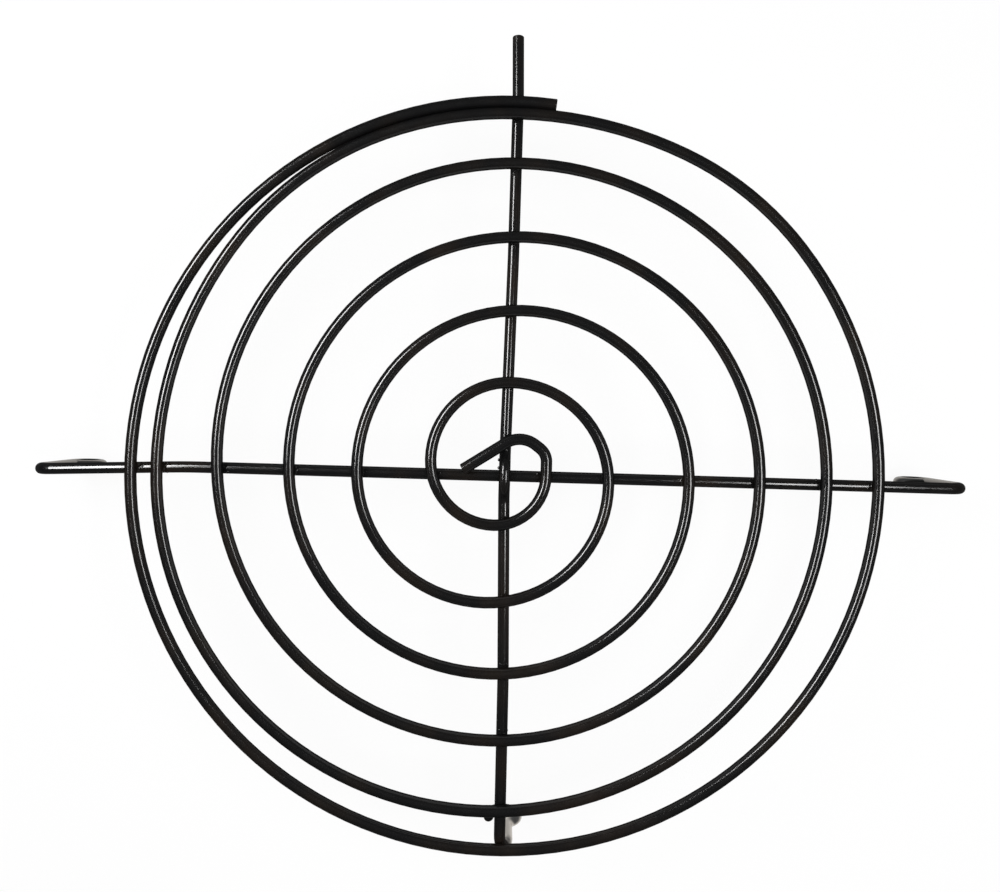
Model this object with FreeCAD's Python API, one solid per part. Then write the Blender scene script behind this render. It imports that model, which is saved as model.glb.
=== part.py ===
import FreeCAD, Part

# Wire fan guard, in millimetres. One wire is coiled from an outer ring to a hook at the centre. It lies
# on two more wires that cross behind it and bend back into three legs, each with a screw eye at its end.
# +Z comes out of the guard's face, +Y runs up the upright wire and +X to the right of the face.
# The origin is on the guard's axis, in the plane that the three eyes stand on.

import math
import os
from FreeCAD import Vector

wire_d = 4.2               # every wire, with its coating
weld_set = 0.5             # how far two wires sink into each other where they are welded
face_height = 39.5         # the coil's centreline above the feet
end_round = 0.4            # the coating rounds each cut end

# the coil
ring_radius = 136.1        # outer ring, to the wire's centreline
ring_end_angle = 83.6      # the outer cut end, in degrees from +X
strand_gap = 0.08          # between the ring's end and the turn that lies against it
step_start_angle = 39.0    # where the ring's other end steps inwards, to pass beside the cut end
step_sweep = 53.0
step_tighter = 20.0        # how much tighter than the ring the wire bends into and out of that step
seat_end_angle = 111.0     # where the second turn leaves the ring's end again
leave_sweep = 32.0
second_radius = 140.5      # from there to its left side the second turn is a little flatter
hub_radius = 18.6          # bend radius of the last quarter turn, round the centre
# how much tighter each quarter turn bends than the one before, from the left of the second turn
# inwards: the coil was wound unevenly, and these shares are scaled to end on the hub's radius
quarter_drops = [18.5, 0.5, 7.5, 6.5, 5.5, 7, 7.5, 4.5, 8, 5.5, 8, 3.5, 11, 4, 7.5, 8, 5, 5]
hook_rise = 7.9            # straight up from the last quarter turn to the hook's shoulder
shoulder_turn = 52.8
shoulder_radius = 6.0
shoulder_length = 11.8
hook_turn = 70.2
hook_radius = 9.5
tail_length = 25.1

# the cross wire, seen from the face
left_reach = 36.65         # from the ring's centreline to the leg's
right_reach = 33.65
cross_y = -0.3
droop_length = 55.6        # the left arm droops over this length, up to its leg
left_droop = 2.3

# the upright wire, seen from the face
stub_length = 23.1         # from the ring's outer edge to the cut end
stub_end_x = 0.5
stub_bend_x = 1.12         # the stub leans from the ring's outer edge on
stub_bend_radius = 60.0
top_bow_y = 80.0           # the wire bows to the right, above and below the centre
top_bow = 1.0
low_bow_y = -75.0
low_bow = 1.6
bow_radius = 300.0
low_reach = 2.1            # from the ring's centreline to the lower leg's
low_leg_x = 2.0
low_foot_x = 4.9           # the lower leg steps to the right, just below its bend
low_foot_z = 28.0

# where the upright steps over the cross wire
crest_flat = 3.4           # half the length between the two upper bends
step_slope = 40.0
step_radius = 6.0

# legs and eyes
leg_bend_radius = 6.0
eye_hole_d = 7.0
eye_end_gap = 0.8          # between the eye's cut end and its leg
low_eye_end_gap = 2.8      # the lower eye is left a little open
low_eye_shift = -1.6       # and sits to the left of its foot
low_eye_bend = 6.0         # radius of the bend that swings the wire out round the lower eye

wire_r = wire_d / 2
ring_edge = ring_radius + wire_r
left_leg_x = -ring_radius - left_reach
right_leg_x = ring_radius + right_reach
low_leg_y = -ring_radius - low_reach
weld_pitch = wire_d - weld_set
spoke_z = face_height - weld_pitch
eye_radius = eye_hole_d / 2 + wire_r
eye_z = wire_r + eye_radius


def polar(radius, degrees):
    """Point at a distance and a direction from the guard's axis, in its face."""
    turn = math.radians(degrees)
    return Vector(radius * math.cos(turn), radius * math.sin(turn), 0)


def arc_about(centre, radius, start, end, across, along):
    """Arc from one angle to another, measured from the direction across towards along."""
    points = []
    for degrees in (start, (start + end) / 2, end):
        turn = math.radians(degrees)
        points.append(centre + across * (radius * math.cos(turn)) + along * (radius * math.sin(turn)))
    return Part.Arc(*points).toShape()


def bent_run(points, radii):
    """Straight runs through the points, with an arc of the given radius at each inner point."""
    edges = []
    start = points[0]
    for before, corner, after, radius in zip(points, points[1:], points[2:], radii):
        into = (corner - before).normalize()
        out = (after - corner).normalize()
        half_turn = into.getAngle(out) / 2
        setback = radius * math.tan(half_turn)
        arc_start = corner - into * setback
        arc_end = corner + out * setback
        inwards = (out - into).normalize()
        middle = corner + inwards * (radius / math.cos(half_turn) - radius)
        edges.append(Part.LineSegment(start, arc_start).toShape())
        edges.append(Part.Arc(arc_start, middle, arc_end).toShape())
        start = arc_end
    edges.append(Part.LineSegment(start, points[-1]).toShape())
    return edges


def drawn_wire(edges):
    """Round wire along tangent edges, with both cut ends rounded."""
    path = Part.Wire(edges)
    start = path.OrderedEdges[0]
    origin = start.valueAt(start.FirstParameter)
    heading = start.tangentAt(start.FirstParameter)
    section = Part.Face(Part.Wire(Part.makeCircle(wire_r, origin, heading)))
    solid = path.makePipe(section)
    rims = [face.OuterWire.Edges[0] for face in solid.Faces if isinstance(face.Surface, Part.Plane)]
    rounded = solid.makeFillet(end_round, rims)
    print("wire length %.1f, volume over section %.1f" % (path.Length, solid.Volume / section.Area))
    return rounded


def coil_arcs():
    """Centre, radius, start and end angle of each arc of the coil, from the outer cut end inwards."""
    axis = Vector(0, 0, 0)
    seat_radius = ring_radius - wire_d - strand_gap
    tight_radius = ring_radius - step_tighter
    left_side = 180 + 360
    arcs = [(axis, ring_radius, ring_end_angle, 360 + step_start_angle)]

    # two arcs step from the ring's circle to the seat's: the second one's radius closes the step
    step_end_angle = step_start_angle + step_sweep
    leaning = step_tighter * math.cos(math.radians(step_sweep))
    closing = tight_radius ** 2 - seat_radius ** 2 - step_tighter ** 2 + 2 * seat_radius * leaning
    slack_radius = closing / (2 * (tight_radius - seat_radius + leaning))
    tight_centre = polar(step_tighter, step_start_angle)
    slack_centre = polar(seat_radius - slack_radius, step_end_angle)
    apart = tight_centre - slack_centre
    meeting_angle = 360 + math.degrees(math.atan2(apart.y, apart.x))
    arcs.append((tight_centre, tight_radius, 360 + step_start_angle, meeting_angle))
    arcs.append((slack_centre, slack_radius, meeting_angle, 360 + step_end_angle))
    arcs.append((axis, seat_radius, 360 + step_end_angle, 360 + seat_end_angle))

    # the second turn leaves the seat with a tight bend, and reaches the left side in one flatter arc
    leave_end_angle = 360 + seat_end_angle + leave_sweep
    centre = polar(seat_radius - tight_radius, seat_end_angle)
    arcs.append((centre, tight_radius, 360 + seat_end_angle, leave_end_angle))
    centre = centre + polar(tight_radius - second_radius, leave_end_angle)
    arcs.append((centre, second_radius, leave_end_angle, left_side))

    radius = second_radius
    share = (second_radius - hub_radius) / sum(quarter_drops)
    for quarter, drop in enumerate(quarter_drops):
        start = left_side + 90 * quarter
        centre = centre + polar(drop * share, start)
        radius = radius - drop * share
        arcs.append((centre, radius, start, start + 90))
    return arcs


def spiral_wire():
    """The coil, with its outer ring and the hook that it ends in."""
    lift = Vector(0, 0, face_height)
    across = Vector(1, 0, 0)
    along = Vector(0, 1, 0)
    edges = []
    for centre, radius, start, end in coil_arcs():
        edges.append(arc_about(centre + lift, radius, start, end, across, along))
    point = centre + lift + polar(radius, end)
    heading = 90.0
    points = [point]
    for length, turn in ((hook_rise, shoulder_turn), (shoulder_length, hook_turn), (tail_length, 0)):
        point = point + polar(length, heading)
        points.append(point)
        heading = heading + turn
    return drawn_wire(edges + bent_run(points, [shoulder_radius, hook_radius]))


def side_eye(leg_x, leg_y, inwards):
    """Eye that curls inwards from the foot of a side leg, as an arc from the leg to its cut end."""
    centre = Vector(leg_x + inwards * eye_radius, leg_y, eye_z)
    closed = math.degrees(math.acos(1 - (wire_d + eye_end_gap) / eye_radius))
    return arc_about(centre, eye_radius, 0, 360 - closed, Vector(-inwards, 0, 0), Vector(0, 0, -1))


def cross_wire():
    """The wire across the guard, with both side legs and their eyes."""
    left_y = cross_y - left_droop
    points = [
        Vector(left_leg_x, left_y, eye_z),
        Vector(left_leg_x, left_y, spoke_z),
        Vector(left_leg_x + droop_length, cross_y, spoke_z),
        Vector(right_leg_x, cross_y, spoke_z),
        Vector(right_leg_x, cross_y, eye_z),
    ]
    edges = [side_eye(left_leg_x, left_y, 1)]
    edges = edges + bent_run(points, [leg_bend_radius, bow_radius, leg_bend_radius])
    edges.append(side_eye(right_leg_x, cross_y, -1))
    return drawn_wire(edges)


def lower_eye():
    """Eye at the foot of the lower leg: the wire swings out to the right and closes round the hole."""
    right = Vector(1, 0, 0)
    up = Vector(0, 0, 1)
    foot = Vector(low_foot_x, low_leg_y, 0)
    reach = low_eye_bend - low_eye_shift
    rise = math.sqrt((low_eye_bend + eye_radius) ** 2 - reach ** 2)
    eye_centre = foot + right * low_eye_shift + up * eye_z
    bend_centre = foot + right * low_eye_bend + up * (eye_z + rise)
    meeting = math.degrees(math.atan2(rise, reach))
    closed = math.degrees(math.acos((low_eye_shift + wire_d + low_eye_end_gap) / eye_radius))
    swing = arc_about(bend_centre, low_eye_bend, 180, 180 + meeting, right, up)
    loop = arc_about(eye_centre, eye_radius, meeting, -180 - closed, right, up)
    return bend_centre.z, [swing, loop]


def upright_wire():
    """The wire up the guard, from the cut end over the ring to the lower leg and its eye."""
    rise = weld_pitch / math.tan(math.radians(step_slope))
    leg_end_z, eye_edges = lower_eye()
    points = [
        Vector(stub_end_x, ring_edge + stub_length, spoke_z),
        Vector(stub_bend_x, ring_edge, spoke_z),
        Vector(top_bow, top_bow_y, spoke_z),
        Vector(0, cross_y + crest_flat + rise, spoke_z),
        Vector(0, cross_y + crest_flat, spoke_z + weld_pitch),
        Vector(0, cross_y - crest_flat, spoke_z + weld_pitch),
        Vector(0, cross_y - crest_flat - rise, spoke_z),
        Vector(low_bow, low_bow_y, spoke_z),
        Vector(low_leg_x, low_leg_y, spoke_z),
        Vector(low_foot_x, low_leg_y, low_foot_z),
        Vector(low_foot_x, low_leg_y, leg_end_z),
    ]
    top_radii = [stub_bend_radius, bow_radius]
    crest_radii = [step_radius, step_radius, step_radius, step_radius]
    leg_radii = [bow_radius, leg_bend_radius, leg_bend_radius]
    return drawn_wire(bent_run(points, top_radii + crest_radii + leg_radii) + eye_edges)


def save(name, shape):
    os.makedirs("parts", exist_ok=True)
    shape.exportStep(os.path.join("parts", name + ".step"))
    print(name, "solids", len(shape.Solids), "valid", shape.isValid(), "volume %.1f" % shape.Volume)


coil = spiral_wire()
upright = upright_wire().cut(coil)
cross = cross_wire().cut(coil).cut(upright)
save("spiral_wire", coil)
save("upright_wire", upright)
save("cross_wire", cross)
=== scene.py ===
import math
import random

import bmesh
import bpy
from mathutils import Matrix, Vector
from mathutils.bvhtree import BVHTree


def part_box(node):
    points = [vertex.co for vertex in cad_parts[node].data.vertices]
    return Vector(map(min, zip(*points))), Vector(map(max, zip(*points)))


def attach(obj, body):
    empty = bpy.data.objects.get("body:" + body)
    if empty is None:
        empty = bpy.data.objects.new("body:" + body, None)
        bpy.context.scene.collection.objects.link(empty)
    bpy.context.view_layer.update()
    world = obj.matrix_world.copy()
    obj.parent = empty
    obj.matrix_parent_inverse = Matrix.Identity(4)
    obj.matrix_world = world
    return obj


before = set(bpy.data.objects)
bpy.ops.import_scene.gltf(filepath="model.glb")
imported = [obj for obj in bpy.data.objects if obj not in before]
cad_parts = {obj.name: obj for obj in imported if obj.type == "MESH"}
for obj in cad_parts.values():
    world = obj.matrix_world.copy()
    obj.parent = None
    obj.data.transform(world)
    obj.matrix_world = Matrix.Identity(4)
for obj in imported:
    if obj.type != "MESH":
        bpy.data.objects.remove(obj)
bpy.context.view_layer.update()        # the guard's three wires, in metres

mm = 0.001
white = (1, 1, 1, 1)
wires = ("spiral_wire", "upright_wire", "cross_wire")
coilLow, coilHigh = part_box("spiral_wire")
wireRadius = (coilHigh.z - coilLow.z) / 2        # the coil lies flat


class Shade:             # a socket that sums can be written with
    def __init__(self, tree, socket=None):
        self.tree = tree
        self.socket = socket

    def node(self, kind, settings=None, values=None, output=0):
        made = self.tree.nodes.new(kind)
        for name, value in (settings or {}).items():
            setattr(made, name, value)
        for name, value in (values or {}).items():
            if isinstance(value, Shade):
                self.tree.links.new(value.socket, made.inputs[name])
            else:
                made.inputs[name].default_value = value
        return Shade(self.tree, made.outputs[output])

    def other(self, name):                       # another output of the same node
        return Shade(self.tree, self.socket.node.outputs[name])

    def maths(self, operation, first, second):
        return self.node("ShaderNodeMath", {"operation": operation}, {0: first, 1: second})

    def __add__(self, other):
        return self.maths("ADD", self, other)

    def __radd__(self, other):
        return self.maths("ADD", other, self)

    def __sub__(self, other):
        return self.maths("SUBTRACT", self, other)

    def __rsub__(self, other):
        return self.maths("SUBTRACT", other, self)

    def __mul__(self, other):
        return self.maths("MULTIPLY", self, other)

    def __rmul__(self, other):
        return self.maths("MULTIPLY", other, self)

    def between(self, low, high, atLow=0.0, atHigh=1.0):      # smooth step from one value to another
        limits = {"From Min": low, "From Max": high, "To Min": atLow, "To Max": atHigh}
        smooth = {"interpolation_type": "SMOOTHSTEP"}
        return self.node("ShaderNodeMapRange", smooth, {"Value": self, **limits})

    def mixed(self, zero, one):                               # from one colour to another
        return self.node("ShaderNodeMix", {"data_type": "RGBA"}, {0: self, 6: zero, 7: one}, output=2)


def newMaterial(name):
    material = bpy.data.materials.new(name)
    material.use_nodes = True
    material.node_tree.nodes.clear()
    return material, Shade(material.node_tree)


def ending(surface, kind="ShaderNodeOutputMaterial"):
    made = surface.tree.nodes.new(kind)
    surface.tree.links.new(surface.socket, made.inputs["Surface"])


# camera, straight over the guard and a little nearer to its stub
view = {
    "place": (-2.12 * mm, 22.58 * mm, 355.9 * mm),
    "turn": 1.64,            # degrees
    "lens": 31.32,
    "shift": (-0.0005, -0.0325),
    "nearest": 10 * mm,
}


def addCamera():
    data = bpy.data.cameras.new("camera")
    data.lens = view["lens"]
    data.shift_x, data.shift_y = view["shift"]
    data.clip_start = view["nearest"]
    camera = bpy.data.objects.new("camera", data)
    camera.location = view["place"]
    camera.rotation_euler = (0, 0, math.radians(view["turn"]))
    bpy.context.scene.collection.objects.link(camera)
    bpy.context.scene.camera = camera


# studio: two soft lights at the sides, whose strips draw the bright lines along the wires
leftSoftbox = {
    "place": (-378 * mm, 180 * mm, 500 * mm),
    "size": (340 * mm, 300 * mm),
    "watts": 2.0,
    "strip": (128 * mm, 364 * mm),
    "shine": 37.0,
}
rightSoftbox = {
    "place": (290 * mm, -22 * mm, 500 * mm),
    "size": (280 * mm, 160 * mm),
    "watts": 1.3,
    "strip": (120 * mm, 205 * mm),
    "shine": 20.0,
}
topLight = {
    "place": (0, 0, 1400 * mm),
    "size": (1200 * mm, 1200 * mm),
    "watts": 12.0,
}
studio = {
    "worldLow": 1.0,         # the world gives white light from the horizon and little from overhead
    "worldHigh": 0.06,
    "worldFade": (0.03, 0.3),
    "floorSize": (12.0, 12.0),
    "floorColour": (0.85, 0.85, 0.85, 1),
    "floorWhite": 0.9,       # share of the floor that shows plain white, the rest takes the shadow
}


def addLamp(name, spec):
    data = bpy.data.lights.new(name, "AREA")
    data.shape = "RECTANGLE"
    data.size, data.size_y = spec["size"]
    data.energy = spec["watts"]
    lamp = bpy.data.objects.new(name, data)
    lamp.visible_glossy = False
    lamp.visible_camera = False
    lamp.location = spec["place"]
    lamp.rotation_mode = "QUATERNION"
    lamp.rotation_quaternion = (-Vector(spec["place"])).to_track_quat("-Z", "Y")
    bpy.context.scene.collection.objects.link(lamp)


def addSheet(name, size, material):              # a flat rectangle of the studio
    x, y = size[0] / 2, size[1] / 2
    mesh = bpy.data.meshes.new(name)
    mesh.from_pydata([(-x, -y, 0), (x, -y, 0), (x, y, 0), (-x, y, 0)], [], [(0, 1, 2, 3)])
    mesh.materials.append(material)
    sheet = bpy.data.objects.new(name, mesh)
    bpy.context.scene.collection.objects.link(sheet)
    return sheet


def addStrip(name, spec):                        # it shows in the gloss alone
    material, shade = newMaterial(name)
    ending(shade.node("ShaderNodeEmission", values={"Color": white, "Strength": spec["shine"]}))
    strip = addSheet(name, spec["strip"], material)
    strip.location = spec["place"]
    strip.visible_camera = False
    strip.visible_diffuse = False
    strip.visible_shadow = False
    strip.visible_transmission = False


def addFloor():
    material, shade = newMaterial("floor")
    camera = shade.node("ShaderNodeLightPath")
    rays = camera + camera.other("Is Glossy Ray") + camera.other("Is Transmission Ray")
    share = shade.maths("MINIMUM", rays, 1.0) * studio["floorWhite"]
    paper = shade.node("ShaderNodeBsdfDiffuse", values={"Color": studio["floorColour"]})
    plain = shade.node("ShaderNodeEmission", values={"Color": white, "Strength": 1.0})
    ending(shade.node("ShaderNodeMixShader", values={0: share, 1: paper, 2: plain}))
    addSheet("floor", studio["floorSize"], material)


def addWorld():
    world = bpy.data.worlds.new("studio")
    world.use_nodes = True
    world.node_tree.nodes.clear()
    shade = Shade(world.node_tree)
    direction = shade.node("ShaderNodeTexCoord")
    height = shade.node("ShaderNodeSeparateXYZ", values={0: direction}, output="Z")
    light = height.between(*studio["worldFade"], studio["worldLow"], studio["worldHigh"])
    camera = shade.node("ShaderNodeLightPath")
    strength = shade.maths("MAXIMUM", light, camera)       # the camera sees it plain white
    back = shade.node("ShaderNodeBackground", values={"Color": white, "Strength": strength})
    ending(back, "ShaderNodeOutputWorld")
    bpy.context.scene.world = world


addCamera()
addLamp("left_softbox", leftSoftbox)
addLamp("right_softbox", rightSoftbox)
addLamp("top_light", topLight)
addStrip("left_strip", leftSoftbox)
addStrip("right_strip", rightSoftbox)
addFloor()
addWorld()
bpy.context.scene.view_settings.view_transform = "Standard"
print("studio and camera are in place")


# black coating: near black, semi-gloss, with a faint brown in it and paint's fine waves
coating = {
    "black": (0.0050, 0.0050, 0.0052, 1),
    "brown": (0.0115, 0.0086, 0.0066, 1),
    "stainScale": 45.0,      # scales are per metre
    "stainRange": (0.4, 0.75),
    "glossiest": 0.16,       # roughness
    "dullest": 0.21,
    "glossScale": 140.0,
    "glossRange": (0.3, 0.7),
    "specular": 0.5,
    "peelScale": 900.0,
    "peelDepth": 0.002 * mm,
    "waveScale": 120.0,
    "waveDepth": 0.02 * mm,
    "rim": (0.15, 0.40, 0.94),     # the gloss fades towards the wires' edges: start, end, share
}
# painted sheen on the legs: a pale metallic layer that lightens their flanks at a low angle
legSheen = {
    "foot": (3 * mm, 6 * mm),      # the legs keep their gloss and take a painted sheen between these heights
    "top": (28 * mm, 33 * mm),
    "lowerLeg": (-110 * mm, -90 * mm),
    "sideLegs": 0.45,              # how much of it the side legs have, beside the lower one
    "sheen": (0.36, 0.72, 0.55),   # the painted sheen shows at a low angle: start, end, share
    "colour": (0.80, 0.74, 0.66, 1),
    "roughness": 0.35,
}


def coatingMaterial():
    material, shade = newMaterial("black_coating_finish")
    place = shade.node("ShaderNodeTexCoord", output="Object")
    y = shade.node("ShaderNodeSeparateXYZ", values={0: place}, output="Y")
    height = y.other("Z")

    def noise(scale, detail):
        fine = {"Vector": place, "Scale": scale, "Detail": detail}
        return shade.node("ShaderNodeTexNoise", values=fine)

    def bump(depth, scale, detail, under):
        relief = {"Strength": 1.0, "Distance": depth, "Height": noise(scale, detail), **under}
        return shade.node("ShaderNodeBump", values=relief)

    def principled(values):
        return shade.node("ShaderNodeBsdfPrincipled", values=values)

    def mixShaders(share, zero, one):
        return shade.node("ShaderNodeMixShader", values={0: share, 1: zero, 2: one})

    stain = noise(coating["stainScale"], 3.0).between(*coating["stainRange"])
    dull = noise(coating["glossScale"], 4.0)
    waves = bump(coating["waveDepth"], coating["waveScale"], 1.0, {})
    paint = {
        "Base Color": stain.mixed(coating["black"], coating["brown"]),
        "Roughness": dull.between(*coating["glossRange"], coating["glossiest"], coating["dullest"]),
        "Normal": bump(coating["peelDepth"], coating["peelScale"], 2.0, {"Normal": waves}),
    }
    gloss = principled({**paint, "Specular IOR Level": coating["specular"]})
    matt = principled({**paint, "Specular IOR Level": 0.0})
    # a painted sheen, pale metal mixed in at a low angle on the legs
    paintedSheen = principled({
        "Base Color": legSheen["colour"],
        "Metallic": 1.0,
        "Roughness": legSheen["roughness"],
        "Normal": waves,
    })

    lower = y.between(*legSheen["lowerLeg"], 1.0, legSheen["sideLegs"])
    legs = height.between(*legSheen["foot"]) * (1 - height.between(*legSheen["top"])) * lower
    facing = shade.node("ShaderNodeLayerWeight", values={"Blend": 0.5}, output="Facing")
    start, end, most = coating["rim"]
    rim = facing.between(start, end, 0.0, most) * (1 - legs)
    # the share of the painted sheen on the legs, by how low the angle is
    start, end, most = legSheen["sheen"]
    sheenShare = facing.between(start, end, 0.0, most) * legs
    ending(mixShaders(sheenShare, mixShaders(rim, gloss, matt), paintedSheen))
    return material


finish = coatingMaterial()
for name in wires:
    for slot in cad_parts[name].material_slots:
        slot.material = finish
print("coating is on the wires")


# welds: a soft fillet of metal and paint in the corners of each crossing
welds = {
    "pairs": (("spiral_wire", "upright_wire"), ("spiral_wire", "cross_wire"),
              ("upright_wire", "cross_wire")),
    "seed": 11,
    "crossing": 5 * mm,            # contact faces nearer than this belong to one crossing
    "soft": (1.1 * mm, 2.0 * mm),  # how widely a fillet rounds the corner
    "inset": 0.04 * mm,            # it lies this far under the wires beside the corner
    "start": 0.3 * mm,
    "least": 0.1 * mm,
    "reach": (3.4 * mm, 4.2 * mm),
    "steps": 9,
}
nubs = {                           # drops of paint on the wire behind, beside the crossing
    "most": 2,
    "size": (0.3 * mm, 0.5 * mm),
    "beside": (2.5 * mm, 3.0 * mm),
    "sideways": (-0.6 * mm, 0.6 * mm),
    "shape": Vector((1.3, 1.3, 0.7)),
}


def treeOf(node):
    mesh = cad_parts[node].data
    corners = [v.co[:] for v in mesh.vertices]
    return BVHTree.FromPolygons(corners, [p.vertices[:] for p in mesh.polygons])


def outside(tree, point):          # distance from a wire's surface, less than 0 inside it
    place, normal, _, distance = tree.find_nearest(point)
    return distance if (point - place).dot(normal) > 0 else -distance


def crossingsOf(one, oneTree, otherTree):
    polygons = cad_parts[one].data.polygons
    touching = sorted({pair[0] for pair in oneTree.overlap(otherTree)})
    groups = []
    for centre in (polygons[face].center for face in touching):
        near = [g for g in groups if (g[0] - centre).length < welds["crossing"]]
        if near:
            near[0].append(centre)
        else:
            groups.append([centre])
    return [sum(group, Vector()) / len(group) for group in groups]


def addFillet(target, centre, trees, chance):
    soft = chance.uniform(*welds["soft"])
    reach = chance.uniform(*welds["reach"])
    made = bmesh.ops.create_icosphere(target, subdivisions=4, radius=1.0)
    for vert in made["verts"]:
        way = vert.co.normalized()
        along = welds["start"]
        for _ in range(welds["steps"]):
            near, far = sorted(outside(tree, centre + way * along) for tree in trees)
            blend = max(soft - (far - near), 0.0) / soft
            gap = near - blend * blend * soft / 4 + welds["inset"]
            along = min(max(along - gap, welds["least"]), reach)
        vert.co = centre + way * along


def addNub(target, centre, tree, way, chance):
    across = Vector((-way.y, way.x, 0))
    beside = way * chance.uniform(*nubs["beside"]) + across * chance.uniform(*nubs["sideways"])
    place = tree.find_nearest(centre + beside + Vector((0, 0, wireRadius / 3)))[0]
    made = bmesh.ops.create_icosphere(target, subdivisions=2, radius=chance.uniform(*nubs["size"]))
    for vert in made["verts"]:
        vert.co = place + vert.co * nubs["shape"]


def inwards(centre, wire):         # along a wire towards the guard's middle
    if wire == "cross_wire":
        return Vector((-math.copysign(1, centre.x), 0, 0))
    return Vector((0, -math.copysign(1, centre.y), 0))


def addWelds():
    trees = {name: treeOf(name) for name in wires}
    chance = random.Random(welds["seed"])
    target = bmesh.new()
    count = 0
    for one, other in welds["pairs"]:
        for centre in crossingsOf(one, trees[one], trees[other]):
            addFillet(target, centre, (trees[one], trees[other]), chance)
            if one == "spiral_wire":
                for _ in range(chance.randint(0, nubs["most"])):
                    addNub(target, centre, trees[other], inwards(centre, other), chance)
            count += 1
    mesh = bpy.data.meshes.new("weld_fillets")
    target.to_mesh(mesh)
    target.free()
    mesh.polygons.foreach_set("use_smooth", [True] * len(mesh.polygons))
    mesh.materials.append(finish)
    piece = bpy.data.objects.new("weld_fillets", mesh)
    bpy.context.scene.collection.objects.link(piece)
    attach(piece, "root")
    return count


print("weld fillets at", addWelds(), "crossings")
